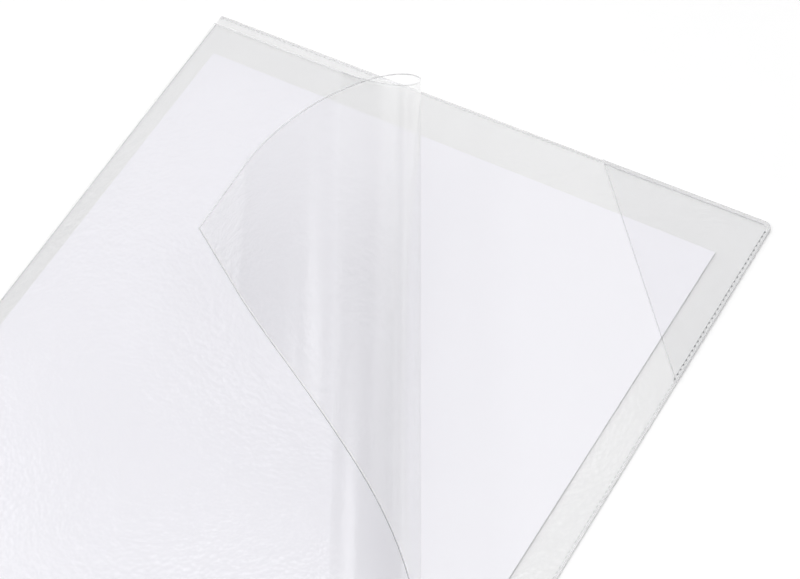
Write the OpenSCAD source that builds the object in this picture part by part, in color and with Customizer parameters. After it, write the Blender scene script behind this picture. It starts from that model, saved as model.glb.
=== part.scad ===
// Self-adhesive document pocket for one A4 sheet, lying on its back with its cover film rolled open.
// X runs across the pocket, Y runs up to its top edge, and Z points away from the glued face.
// The origin is the middle of the back, on the release liner. Sizes are in millimetres.

/* [Pocket] */
// Width of the back film
pocket_w = 230; // [226:1:240]
// Height of the back film
pocket_h = 320; // [316:1:330]
// Radius of the two outer corners on the open side
corner_r = 3; // [2:0.5:6]
// Width of the welded seam round the rim
seam_w = 1.6; // [1:0.1:1.9]
// Height of the seam's bead on a bare edge
seam_h = 0.25; // [0.1:0.05:0.3]

/* [Films] */
// Thickness of the back film
back_t = 0.25; // [0.15:0.05:0.4]
// Thickness of the cover film and the corner pocket
film_t = 0.2; // [0.1:0.05:0.3]
// Distance of the cover film's free edges from the rim
cover_inset = 4.6; // [3:0.1:8]

/* [Corner pocket] */
// Length of the leg along the top edge
corner_w = 66; // [50:1:80]
// Length of the leg along the right edge
corner_h = 70; // [50:1:90]

/* [Back] */
// Thickness of the adhesive coat
adhesive_t = 0.1; // [0.05:0.05:0.2]
// Thickness of the release liner
liner_t = 0.1; // [0.05:0.05:0.2]
// Width of the slit between the two halves of the liner
liner_slit = 0.6; // [0.2:0.1:2]

/* [Document] */
// Width of the sheet
sheet_w = 210; // [200:1:212]
// Height of the sheet
sheet_h = 297; // [280:1:300]
// Thickness of the sheet
sheet_t = 0.1; // [0.05:0.05:0.2]
// Distance of the sheet's middle from the pocket's middle, to the left
sheet_left = 3.6; // [0:0.1:5]
// Distance of the sheet's middle from the pocket's middle, downwards
sheet_down = 6; // [0:0.1:6]
// Turn of the sheet in the pocket, clockwise
sheet_skew = 0.42; // [0:0.01:0.6]

/* [Rolled cover film] */
// Direction across the roll, from the pocket's width
roll_turn = 31.3; // [30:0.1:34]
// Distance of the roll's foot from the pocket's middle, along that direction
roll_foot = 31.5; // [26:0.1:33]
// Radius of the roll where it lifts off the sheet
foot_r = 42.6; // [40:0.1:44]
// Bend at each strip line where it lifts off the sheet
foot_step = 14.5; // [10:0.5:14.5]
// Strip lines where it lifts off the sheet
foot_bends = 2; // [1:1:2]
// Radius of the roll over its crown
crown_r = 24.4; // [22:0.1:25]
// Bend at each strip line over its crown
crown_step = 26.1; // [20:0.1:26.1]
// Strip lines over its crown
crown_bends = 5; // [4:1:5]
// Radius of the roll towards its free corner
tail_r = 43; // [40:1:44]
// Bend at each strip line towards its free corner
tail_step = 14.5; // [10:0.5:14.5]
// Strip lines towards its free corner
tail_bends = 4; // [3:1:4]

/* [Hidden] */
$fn = 48;
slack = 0.01;
// Room between the liner and the glue, and under, over and above the sheet
liner_gap = 0.05;
sheet_under = 0.1;
sheet_over = 0.15;
cover_over = 0.25;
// Gap between two strips of the rolled film
strip_gap = 0.2;
// Sides of a full circle of the roll
roll_fn = 360;

// Heights of the layers' undersides
adhesive_z = liner_t + liner_gap;
back_z = adhesive_z + adhesive_t;
inside_z = back_z + back_t;
sheet_z = inside_z + sheet_under;
corner_z = sheet_z + sheet_t + sheet_over;
cover_z = corner_z + film_t + cover_over;

// The cover film's free edges, and where the corner pocket's diagonal meets the rim
cover_right = pocket_w / 2 - cover_inset;
cover_top = pocket_h / 2 - cover_inset;
diagonal_x = pocket_w / 2 - corner_w;
diagonal_y = pocket_h / 2 - corner_h;

// The roll follows three tangent arcs, which are cut into equal bends.
// A strip line lies in the middle of each bend, and a strip of film runs from one strip line to the next.
bend_r = [
    for (i = [1 : foot_bends]) foot_r,
    for (i = [1 : crown_bends]) crown_r,
    for (i = [1 : tail_bends]) tail_r
];
bend_turn = [
    for (i = [1 : foot_bends]) foot_step,
    for (i = [1 : crown_bends]) crown_step,
    for (i = [1 : tail_bends]) tail_step
];
strips = len(bend_r);
free_corner = cover_right * cos(roll_turn) + cover_top * sin(roll_turn);
far = pocket_w + pocket_h;

// Length of film on radius r over an angle
function arc_length(r, angle) = PI * r * angle / 180;

// Flat distance of the end of bend k from the pocket's middle, across the roll
function flat_at(k) = k == 0 ? roll_foot : flat_at(k - 1) + arc_length(bend_r[k - 1], bend_turn[k - 1]);

// Slope of the film at the end of bend k
function turn_at(k) = k == 0 ? 0 : turn_at(k - 1) + bend_turn[k - 1];

// Place of the end of bend k in the rolled film, across the roll and upwards
function rolled_at(k) =
    k == 0 ? [roll_foot, cover_z + film_t / 2]
    : rolled_at(k - 1)
        + bend_r[k - 1] * [sin(turn_at(k)) - sin(turn_at(k - 1)), cos(turn_at(k - 1)) - cos(turn_at(k))];

// Half of bend k, less the gap to the next strip
function half_bend(k) = bend_turn[k - 1] / 2 - 90 * strip_gap / (PI * bend_r[k - 1]);

// Where a line along the roll, at flat distance s, leaves the film: at its right edge and at its top edge
function right_end(s) = (s * cos(roll_turn) - cover_right) / sin(roll_turn);
function top_end(s) = (cover_top - s * sin(roll_turn)) / cos(roll_turn);

film_colour = [0.88, 0.89, 0.91, 0.45];
seam_colour = [0.80, 0.81, 0.83, 0.8];
glue_colour = [0.93, 0.93, 0.90, 0.6];
paper_colour = [0.95, 0.95, 0.97];
liner_colour = [0.92, 0.91, 0.87];

flap_names = [for (k = [1 : strips]) str("cover_flap_", k)];

// The pocket's outline, drawn in from the rim, with round corners on the right
module outline(inset = 0) {
    r = corner_r - inset;
    low = [inset - pocket_w / 2, inset - pocket_h / 2];
    size = [pocket_w, pocket_h] - 2 * [inset, inset];
    translate(low) square([size[0] - r, size[1]]);
    translate(low + [size[0] / 2, r]) square([size[0] / 2, size[1] - 2 * r]);
    for (y = [r, size[1] - r])
        translate(low + [size[0] - r, y]) circle(r);
}

// The stretch of the rim between two corners of a rectangle
module rim(from, to) {
    intersection() {
        difference() {
            outline();
            outline(seam_w);
        }
        translate(from) square(to - from);
    }
}

// One seam from the back film up to a height
module seam(from, to, height) {
    color(seam_colour)
        translate([0, 0, inside_z])
            linear_extrude(height)
                rim(from, to);
}

// One half of the liner, on the side of the slit that way points to
module liner_half(way) {
    half_h = (pocket_h - liner_slit) / 2;
    middle = way * (half_h + liner_slit) / 2;
    color(liner_colour)
        linear_extrude(liner_t)
            intersection() {
                outline();
                translate([0, middle]) square([pocket_w, half_h], center = true);
            }
}

module liner_upper() {
    liner_half(1);
}

module liner_lower() {
    liner_half(-1);
}

module adhesive_coat() {
    color(glue_colour)
        translate([0, 0, adhesive_z])
            linear_extrude(adhesive_t)
                outline(seam_w);
}

module back_film() {
    color(film_colour)
        translate([0, 0, back_z])
            linear_extrude(back_t)
                outline();
}

module left_seam() {
    low = [-pocket_w / 2, -pocket_h / 2];
    seam(low, [seam_w - pocket_w / 2, cover_top], cover_z - inside_z);
}

module bottom_seam() {
    low = [seam_w - pocket_w / 2, -pocket_h / 2];
    seam(low, [cover_right, seam_w - pocket_h / 2], cover_z - inside_z);
}

module top_seam() {
    low = [-pocket_w / 2, pocket_h / 2 - seam_w];
    seam(low, [diagonal_x, pocket_h / 2], seam_h);
}

module right_seam() {
    low = [pocket_w / 2 - corner_r, -pocket_h / 2];
    seam(low, [pocket_w / 2, diagonal_y], seam_h);
}

module corner_top_seam() {
    low = [diagonal_x, pocket_h / 2 - corner_r];
    seam(low, [pocket_w / 2 - corner_r, pocket_h / 2], corner_z - inside_z);
}

module corner_right_seam() {
    low = [pocket_w / 2 - corner_r, diagonal_y];
    seam(low, [pocket_w / 2, pocket_h / 2], corner_z - inside_z);
}

module document_sheet() {
    color(paper_colour)
        translate([-sheet_left, -sheet_down, sheet_z])
            rotate(-sheet_skew)
                linear_extrude(sheet_t)
                    square([sheet_w, sheet_h], center = true);
}

module corner_pocket() {
    corner = [pocket_w / 2, pocket_h / 2];
    color(film_colour)
        translate([0, 0, corner_z])
            linear_extrude(film_t)
                intersection() {
                    outline();
                    polygon([[diagonal_x, corner[1]], [corner[0], diagonal_y], corner]);
                }
}

// Cut through the film on radius r between two angles, with the film's middle in the origin at angle 0
module bend_section(r, from, to) {
    translate([0, r])
        intersection() {
            difference() {
                circle(r + film_t / 2, $fn = roll_fn);
                circle(r - film_t / 2, $fn = roll_fn);
            }
            polygon([[0, 0], 2 * r * [sin(from), -cos(from)], 2 * r * [sin(to), -cos(to)]]);
        }
}

// Cut through a straight stretch of film
module straight_section(from, to) {
    translate([from, -film_t / 2]) square([to - from, film_t]);
}

// A cut drawn out along the roll, with its origin at the end of bend k
module along_roll(k) {
    at = rolled_at(k);
    rotate(roll_turn)
        translate([at[0], 0, at[1]])
            rotate([0, -turn_at(k), 0])
                intersection() {
                    rotate([90, 0, 0])
                        translate([0, 0, -far]) linear_extrude(2 * far) children(0);
                    translate([0, 0, -far]) linear_extrude(2 * far) children(1);
                }
}

// The flat part of the cover film, from the welded edges to the first strip line
module cover_film() {
    low = [-pocket_w / 2, -pocket_h / 2];
    color(film_colour)
        along_roll(0) {
            union() {
                straight_section(-far, 0);
                bend_section(bend_r[0], 0, half_bend(1));
            }
            translate([-roll_foot, 0])
                rotate(-roll_turn)
                    translate(low) square([cover_right, cover_top] - low);
        }
}

// Strip k of the rolled part, from the middle of bend k to the middle of the next bend or to the free corner
module cover_flap(k) {
    s = flat_at(k);
    left = bend_r[k - 1] * sin(bend_turn[k - 1] / 2);
    last = k == strips;
    right = last ? free_corner - slack - s : bend_r[k] * sin(bend_turn[k] / 2);
    from = s - arc_length(bend_r[k - 1], bend_turn[k - 1] / 2);
    to = last ? free_corner - slack : s + arc_length(bend_r[k], bend_turn[k] / 2);
    color(film_colour)
        along_roll(k) {
            union() {
                bend_section(bend_r[k - 1], -half_bend(k), 0);
                if (last) straight_section(0, right);
                if (!last) bend_section(bend_r[k], 0, half_bend(k + 1));
            }
            polygon([
                [-left, right_end(from)], [0, right_end(s)], [right, right_end(to)],
                [right, top_end(to)], [0, top_end(s)], [-left, top_end(from)]
            ]);
        }
}

liner_upper();
liner_lower();
adhesive_coat();
back_film();
left_seam();
bottom_seam();
top_seam();
right_seam();
corner_top_seam();
corner_right_seam();
document_sheet();
corner_pocket();
cover_film();
for (k = [1 : strips])
    cover_flap(k);
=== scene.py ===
"""Looks of a clear self-adhesive document pocket with one blank sheet.

The pocket's cover film is rolled back from its free corner.
"""
import logging
import math
from collections.abc import Callable, Iterable, Sequence
from dataclasses import dataclass, field
from enum import Enum

import bmesh
import bpy
from mathutils import Matrix, Vector


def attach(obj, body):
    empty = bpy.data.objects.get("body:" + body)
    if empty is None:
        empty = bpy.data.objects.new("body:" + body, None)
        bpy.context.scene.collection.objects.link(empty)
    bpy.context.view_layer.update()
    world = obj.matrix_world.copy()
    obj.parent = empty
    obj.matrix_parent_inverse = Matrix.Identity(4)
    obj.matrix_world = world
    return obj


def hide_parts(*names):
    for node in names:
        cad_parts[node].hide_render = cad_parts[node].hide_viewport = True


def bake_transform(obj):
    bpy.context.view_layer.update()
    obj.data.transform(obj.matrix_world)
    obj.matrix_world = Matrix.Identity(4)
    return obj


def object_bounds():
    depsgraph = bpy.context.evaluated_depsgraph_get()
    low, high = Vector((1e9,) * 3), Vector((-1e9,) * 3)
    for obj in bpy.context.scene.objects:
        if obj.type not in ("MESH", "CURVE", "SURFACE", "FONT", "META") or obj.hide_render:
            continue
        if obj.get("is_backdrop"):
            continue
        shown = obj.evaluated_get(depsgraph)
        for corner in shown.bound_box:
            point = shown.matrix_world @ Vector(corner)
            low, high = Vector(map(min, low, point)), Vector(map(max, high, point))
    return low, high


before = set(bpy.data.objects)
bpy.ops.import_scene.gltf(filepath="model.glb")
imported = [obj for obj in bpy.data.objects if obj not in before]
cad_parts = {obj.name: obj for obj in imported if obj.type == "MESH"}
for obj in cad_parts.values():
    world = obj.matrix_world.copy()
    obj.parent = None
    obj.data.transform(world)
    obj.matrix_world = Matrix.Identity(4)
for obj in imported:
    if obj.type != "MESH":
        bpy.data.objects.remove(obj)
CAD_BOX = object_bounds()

LOG = logging.getLogger("document_pocket")
MM = 0.001
MERGE_DISTANCE = 1e-7

Colour = tuple[float, float, float]
Point = tuple[float, float, float]
# A point of the pocket's plane, and a line of such points on the rim, each with the direction inwards.
Spot = tuple[float, float]
Course = list[tuple[Vector, Vector]]


class Face(Enum):
    """Material places on a film: broad faces, lines and bands along its edges, the edge itself and a join.
    The lines, bands and edge are painted highlight and painted shade, flat bright or grey colours for the
    light that the clear film's edges and welds bend.
    """

    BROAD = "broad"
    RIM = "bright rim"
    LINE = "dark rim"
    MOUTH = "rim of a pocket's mouth"
    BAND = "weld band"
    STEP = "inner line of a weld"
    CUT = "cut edge"
    WELD = "welded edge"
    JOIN = "join"


class Slot(Enum):
    """Material slots of the record."""

    LINER = "liner"
    ADHESIVE = "adhesive"
    BACK_FILM = "back_film"
    SEAM = "seam"
    CORNER_FILM = "corner_film"
    COVER_FILM = "cover_film"
    PAPER = "paper"


class Body(Enum):
    """Moving bodies of the frame, apart from the strips of the rolled film."""

    POCKET = "pocket"
    DOCUMENT = "document"
    UPPER_LINER = "upper_liner"
    LOWER_LINER = "lower_liner"


class SeamKind(Enum):
    """Sections of the welded rim."""

    BEAD = "bead on the back film alone"
    BAR = "bar between two films"
    # This bar's inner slope is painted shade, a grey band where the clear weld looks dark.
    BAR_WITH_PAINTED_SHADE = "bar between two films, with a dark inner slope"


class Marks(Enum):
    """Rows of marks that the welding tool pressed along the seams."""

    DASHES = "knurl_dashes"
    PALE = "knurl_pale"
    DOTS = "knurl_dots"
    COVERED = "knurl_covered"


@dataclass(frozen=True)
class Layers:
    """Sizes of the pocket and heights of its layers, in millimetres."""

    width: float = 230.0
    height: float = 320.0
    corner_radius: float = 3.0
    seam_width: float = 1.6
    seam_height: float = 0.25
    film: float = 0.2
    cover_inset: float = 4.6
    triangle_top: float = 66.0
    triangle_right: float = 70.0
    liner: tuple[float, float] = (0.0, 0.1)
    adhesive: tuple[float, float] = (0.15, 0.245)
    back_film: tuple[float, float] = (0.25, 0.5)
    sheet: tuple[float, float] = (0.6, 0.7)
    corner_film: tuple[float, float] = (0.85, 1.05)
    cover_film: tuple[float, float] = (1.3, 1.5)

    @property
    def cover_right(self) -> float:
        """Place of the cover film's right edge."""
        return self.width / 2 - self.cover_inset

    @property
    def cover_top(self) -> float:
        """Place of the cover film's top edge."""
        return self.height / 2 - self.cover_inset


@dataclass(frozen=True)
class Bend:
    """One bend of the rolled film: its radius in millimetres and its angle in radians."""

    radius: float
    angle: float

    @property
    def length(self) -> float:
        """Length of film in the bend."""
        return self.radius * self.angle


@dataclass(frozen=True)
class RollPath:
    """Course of the rolled cover film across the roll, in millimetres."""

    layers: Layers
    turn: float = math.radians(31.3)
    foot: float = 31.5
    bends: tuple[Bend, ...] = (
        (Bend(42.6, math.radians(14.5)),) * 2
        + (Bend(24.4, math.radians(26.1)),) * 5
        + (Bend(43.0, math.radians(14.5)),) * 4
    )

    @property
    def free_corner(self) -> float:
        """Flat distance of the film's free corner, across the roll."""
        return self.layers.cover_right * math.cos(self.turn) + self.layers.cover_top * math.sin(self.turn)

    def flat_at(self, k: int) -> float:
        """Flat distance of the end of bend k."""
        return self.foot + sum(b.length for b in self.bends[:k])

    def right_end(self, s: float, inset: float = 0.0) -> float:
        """Where the line at flat distance s meets the film's right edge, or a line beside it."""
        return (s * math.cos(self.turn) - self.layers.cover_right + inset) / math.sin(self.turn)

    def top_end(self, s: float, inset: float = 0.0) -> float:
        """Where the line at flat distance s meets the film's top edge, or a line beside it."""
        return (self.layers.cover_top - inset - s * math.sin(self.turn)) / math.cos(self.turn)

    def course(self, s: float) -> tuple[float, float, float]:
        """Follows the film's middle from the pocket's middle.

        Args:
            s: Flat distance across the roll.

        Returns:
            Distance across the roll, height, and slope in radians.
        """
        across, up, slope, rest = self.foot, sum(self.layers.cover_film) / 2, 0.0, s - self.foot
        if rest <= 0:
            return s, up, 0.0
        for bend in self.bends:
            angle = min(rest, bend.length) / bend.radius
            across += bend.radius * (math.sin(slope + angle) - math.sin(slope))
            up += bend.radius * (math.cos(slope) - math.cos(slope + angle))
            slope += angle
            rest -= bend.length
            if rest <= 0:
                return across, up, slope
        return across + rest * math.cos(slope), up + rest * math.sin(slope), slope

    def place(self, s: float, v: float, off: float = 0.0) -> Point:
        """Point of the film in the pocket's frame.

        Args:
            s: Flat distance across the roll.
            v: Distance along the roll.
            off: Distance from the film's middle, towards the inside of the roll.

        Returns:
            The point in millimetres.
        """
        across, up, slope = self.course(s)
        across -= off * math.sin(slope)
        c, n = math.cos(self.turn), math.sin(self.turn)
        return across * c - v * n, across * n + v * c, up + off * math.cos(slope)


def spread(start: float, end: float, steps: int) -> list[float]:
    """Gives evenly spaced numbers from start to end."""
    return [start + (end - start) * i / steps for i in range(steps + 1)]


def rgba(colour: Colour, share: float = 1.0) -> tuple[float, float, float, float]:
    """Gives a colour for a socket, darkened to a share of itself."""
    return (*(c * share for c in colour), 1.0)


class Nodes:
    """Short ways to add and link nodes in one node tree."""

    def __init__(self, tree: bpy.types.NodeTree) -> None:
        """Starts on a tree, which is emptied."""
        self.tree = tree
        tree.nodes.clear()

    def add(self, kind: str, values: dict | None = None, **settings: object) -> bpy.types.Node:
        """Adds a node.

        Args:
            kind: Blender's name of the node type.
            values: Input names or numbers, each with a value or with an output socket to link.
            settings: Properties of the node.

        Returns:
            The node.
        """
        node = self.tree.nodes.new(kind)
        for key, value in settings.items():
            setattr(node, key, value)
        for key, value in (values or {}).items():
            if isinstance(value, bpy.types.NodeSocket):
                self.tree.links.new(value, node.inputs[key])
            else:
                node.inputs[key].default_value = value
        return node

    def math(self, operation: str, *values: object) -> bpy.types.NodeSocket:
        """Adds a Math node on up to three values and gives its output."""
        return self.add("ShaderNodeMath", dict(enumerate(values)), operation=operation).outputs[0]

    def dot(self, vector: object, way: Point) -> bpy.types.NodeSocket:
        """Measures a vector along a direction and gives the output."""
        return self.add("ShaderNodeVectorMath", {0: vector, 1: way}, operation="DOT_PRODUCT").outputs["Value"]

    def ramp(self, value: object, given: Spot, wanted: Spot, smooth: bool = True) -> bpy.types.NodeSocket:
        """Maps a value from one range to another, and holds it at the ends.

        Args:
            value: The value.
            given: Its range.
            wanted: The range of the result.
            smooth: Whether the result eases in and out.

        Returns:
            The output.
        """
        values = dict(enumerate((value, *given, *wanted)))
        easing = "SMOOTHSTEP" if smooth else "LINEAR"
        return self.add("ShaderNodeMapRange", values, interpolation_type=easing).outputs[0]

    def mix_value(self, share: object, a: object, b: object) -> bpy.types.NodeSocket:
        """Mixes two values and gives the output, by numbers, because the names of its sockets repeat."""
        first, second = 2, 3
        return self.add("ShaderNodeMix", {0: share, first: a, second: b}).outputs[0]

    def mix_colour(self, share: object, a: object, b: object) -> bpy.types.NodeSocket:
        """Mixes two colours and gives the output, by numbers, because the names of its sockets repeat."""
        first, second, result = 6, 7, 2
        return self.add("ShaderNodeMix", {0: share, first: a, second: b}, data_type="RGBA").outputs[result]

    def noise(
        self, vector: object, scale: float, detail: float = 2.0, rough: float = 0.5
    ) -> bpy.types.NodeSocket:
        """Adds a noise texture and gives its value."""
        values = {"Vector": vector, "Scale": scale, "Detail": detail, "Roughness": rough}
        return self.add("ShaderNodeTexNoise", values).outputs[0]


class Groups:
    """Shader node groups that several finishes share, each built once."""

    CELL_SCALE: float = 620.0
    CELL_SHARE: float = 0.6
    CREASE_SCALE: float = 340.0
    PATCH_SCALE: float = 14.0
    WAVE_SCALE: float = 9.0
    THREAD_SCALE: float = 1500.0
    THREAD_STRETCH: Point = (1.0, 0.45, 1.0)
    THREAD_SHARE: float = 0.5
    CLOUD_SCALE: float = 60.0

    @staticmethod
    def _start(
        name: str, inputs: dict[str, str], outputs: dict[str, str]
    ) -> tuple[Nodes, bpy.types.Node, bpy.types.Node]:
        """Starts a group with named sockets.

        Args:
            name: Name of the group.
            inputs: Socket types by name.
            outputs: Socket types by name.

        Returns:
            The group's nodes, its input node and its output node.
        """
        tree = bpy.data.node_groups.new(name, "ShaderNodeTree")
        for way, sockets in (("INPUT", inputs), ("OUTPUT", outputs)):
            for socket, kind in sockets.items():
                tree.interface.new_socket(socket, in_out=way, socket_type=kind)
        nodes = Nodes(tree)
        return nodes, nodes.add("NodeGroupInput"), nodes.add("NodeGroupOutput")

    @classmethod
    def wrinkle(cls) -> bpy.types.NodeTree:
        """Fine creases and slow waves of soft film, as a height.

        Returns:
            The group.
        """
        name = "film_wrinkle"
        if name in bpy.data.node_groups:
            return bpy.data.node_groups[name]
        kinds = {"Vector": "NodeSocketVector", "Crease": "NodeSocketFloat", "Wave": "NodeSocketFloat"}
        n, start, end = cls._start(name, kinds, {"Height": "NodeSocketFloat"})
        vector = start.outputs["Vector"]
        cells = n.add("ShaderNodeTexVoronoi", {"Vector": vector, "Scale": cls.CELL_SCALE}).outputs[0]
        fine = n.noise(vector, cls.CREASE_SCALE, detail=3.0)
        crease = n.math("ADD", fine, n.math("MULTIPLY", cells, cls.CELL_SHARE))
        patch = n.math("MULTIPLY", n.noise(vector, cls.PATCH_SCALE), start.outputs["Crease"])
        crease = n.math("MULTIPLY", crease, patch)
        wave = n.math("MULTIPLY", n.noise(vector, cls.WAVE_SCALE, detail=1.0), start.outputs["Wave"])
        n.tree.links.new(n.math("ADD", crease, wave), end.inputs["Height"])
        return n.tree

    @classmethod
    def fibre(cls) -> bpy.types.NodeTree:
        """Fibre of paper, as a mottle for its colour and a height for its tooth.

        Returns:
            The group.
        """
        name = "paper_fibre"
        if name in bpy.data.node_groups:
            return bpy.data.node_groups[name]
        kinds = {"Vector": "NodeSocketVector", "Cloud": "NodeSocketFloat"}
        n, start, end = cls._start(name, kinds, {"Mottle": "NodeSocketFloat", "Tooth": "NodeSocketFloat"})
        vector = start.outputs["Vector"]
        stretch = n.add("ShaderNodeMapping", {"Vector": vector, "Scale": cls.THREAD_STRETCH}).outputs[0]
        thread = n.noise(stretch, cls.THREAD_SCALE, detail=3.0, rough=0.6)
        cloud = n.math("MULTIPLY", n.noise(vector, cls.CLOUD_SCALE, detail=3.0), start.outputs["Cloud"])
        n.tree.links.new(n.math("MULTIPLY_ADD", thread, cls.THREAD_SHARE, cloud), end.inputs["Mottle"])
        n.tree.links.new(thread, end.inputs["Tooth"])
        return n.tree


def new_material(name: str) -> tuple[Nodes, bpy.types.Node, bpy.types.Node]:
    """Starts a node material.

    Args:
        name: Name of the material.

    Returns:
        Its nodes, the output node and a Texture Coordinate node.
    """
    material = bpy.data.materials.new(name)
    material.use_nodes = True
    n = Nodes(material.node_tree)
    return n, n.add("ShaderNodeOutputMaterial"), n.add("ShaderNodeTexCoord")


@dataclass(frozen=True)
class ClearFilm:
    """Clear soft plastic film: light passes straight through, and each face mirrors a little of the room."""

    name: str
    tint: Colour
    roughness: float
    crease: float = 0.5
    wave: float = 1.0
    facing_reflection: float = 0.045
    grazing_reflection: float = 1.0
    grazing_power: float = 5.0
    bump_strength: float = 0.25
    bump_depth: float = 0.0006

    def material(self) -> bpy.types.Material:
        """Builds the film's material.

        Returns:
            The material.
        """
        n, out, coords = new_material(self.name)
        values = {"Vector": coords.outputs["Object"], "Crease": self.crease, "Wave": self.wave}
        wrinkle = n.add("ShaderNodeGroup", values, node_tree=Groups.wrinkle())
        bump = n.add("ShaderNodeBump", {
            "Height": wrinkle.outputs["Height"], "Strength": self.bump_strength, "Distance": self.bump_depth})
        facing = n.add("ShaderNodeLayerWeight", {"Blend": 0.5}).outputs["Facing"]
        grazing = n.math("POWER", facing, self.grazing_power)
        rise = self.grazing_reflection - self.facing_reflection
        mirror = n.math("MULTIPLY_ADD", grazing, rise, self.facing_reflection)
        through = n.add("ShaderNodeBsdfTransparent", {"Color": rgba(self.tint)})
        gloss = n.add("ShaderNodeBsdfPrincipled", {
            "Base Color": (1.0, 1.0, 1.0, 1.0), "Metallic": 1.0, "Roughness": self.roughness,
            "Normal": bump.outputs[0]})
        mix = n.add("ShaderNodeMixShader", {0: mirror, 1: through.outputs[0], 2: gloss.outputs[0]})
        n.tree.links.new(mix.outputs[0], out.inputs["Surface"])
        return bpy.data.materials[self.name]


@dataclass(frozen=True)
class PaintedEdgeLightAndMark:
    """Painted highlight or painted shade along a film's cut edge, rolled rim or weld, where the clear edge
    gathers light and shows as a fine line; also the plain colour of the welding tool's marks.
    """

    name: str
    colour: Colour
    cover: float
    roughness: float = 0.3
    grain_scale: float = 400.0
    grain_shade: float = 0.9

    def material(self) -> bpy.types.Material:
        """Builds the edge's material.

        Returns:
            The material.
        """
        n, out, coords = new_material(self.name)
        grain = n.noise(coords.outputs["Object"], self.grain_scale)
        base = n.mix_colour(grain, rgba(self.colour), rgba(self.colour, self.grain_shade))
        solid = n.add("ShaderNodeBsdfPrincipled", {
            "Base Color": base, "Roughness": self.roughness, "Alpha": self.cover})
        n.tree.links.new(solid.outputs[0], out.inputs["Surface"])
        return bpy.data.materials[self.name]


@dataclass(frozen=True)
class FilmJoin:
    """Clear inside of the film, where two strips of it meet."""

    name: str

    def material(self) -> bpy.types.Material:
        """Builds the join's material.

        Returns:
            The material.
        """
        n, out, _ = new_material(self.name)
        n.tree.links.new(n.add("ShaderNodeBsdfTransparent").outputs[0], out.inputs["Surface"])
        return bpy.data.materials[self.name]


@dataclass(frozen=True)
class PaperStock:
    """Paper with a fine fibre, plain or silicone-coated."""

    name: str
    colour: Colour
    shade: float
    roughness: float
    cloud: float
    tooth_roughness: float = 0.12
    bump_strength: float = 0.2
    bump_depth: float = 0.00004

    def material(self) -> bpy.types.Material:
        """Builds the paper's material.

        Returns:
            The material.
        """
        n, out, coords = new_material(self.name)
        values = {"Vector": coords.outputs["Object"], "Cloud": self.cloud}
        fibre = n.add("ShaderNodeGroup", values, node_tree=Groups.fibre())
        base = n.mix_colour(fibre.outputs["Mottle"], rgba(self.colour), rgba(self.colour, self.shade))
        rough = n.math("MULTIPLY_ADD", fibre.outputs["Tooth"], self.tooth_roughness, self.roughness)
        bump = n.add("ShaderNodeBump", {
            "Height": fibre.outputs["Tooth"], "Strength": self.bump_strength, "Distance": self.bump_depth})
        body = n.add("ShaderNodeBsdfPrincipled", {
            "Base Color": base, "Roughness": rough, "Normal": bump.outputs[0]})
        n.tree.links.new(body.outputs[0], out.inputs["Surface"])
        return bpy.data.materials[self.name]


@dataclass(frozen=True)
class TableWhite:
    """Matt white of the table, which glows to the camera and in reflections, the more the farther out."""

    name: str = "table_white"
    dark: Colour = (0.88, 0.88, 0.88)
    pale: Colour = (0.9, 0.9, 0.9)
    grain_scale: float = 30.0
    glow_reach: tuple[float, float] = (0.35, 1.6)
    glow_level: tuple[float, float] = (0.14, 1.0)

    def material(self) -> bpy.types.Material:
        """Builds the table's material.

        Returns:
            The material.
        """
        n, out, coords = new_material(self.name)
        ray = n.add("ShaderNodeLightPath")
        seen = n.math("MAXIMUM", ray.outputs["Is Camera Ray"], ray.outputs["Is Glossy Ray"])
        seen = n.math("MAXIMUM", seen, ray.outputs["Is Transmission Ray"])
        grain = n.noise(coords.outputs["Object"], self.grain_scale, detail=3.0)
        base = n.mix_colour(grain, rgba(self.dark), rgba(self.pale))
        matt = n.add("ShaderNodeBsdfDiffuse", {"Color": base})
        away = n.add("ShaderNodeVectorMath", {0: coords.outputs["Object"]}, operation="LENGTH")
        white = n.ramp(away.outputs["Value"], self.glow_reach, self.glow_level, smooth=False)
        glow = n.add("ShaderNodeEmission", {
            "Color": (1.0, 1.0, 1.0, 1.0), "Strength": n.math("MULTIPLY", seen, white)})
        both = n.add("ShaderNodeAddShader", {0: matt.outputs[0], 1: glow.outputs[0]})
        n.tree.links.new(both.outputs[0], out.inputs["Surface"])
        return bpy.data.materials[self.name]


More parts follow.
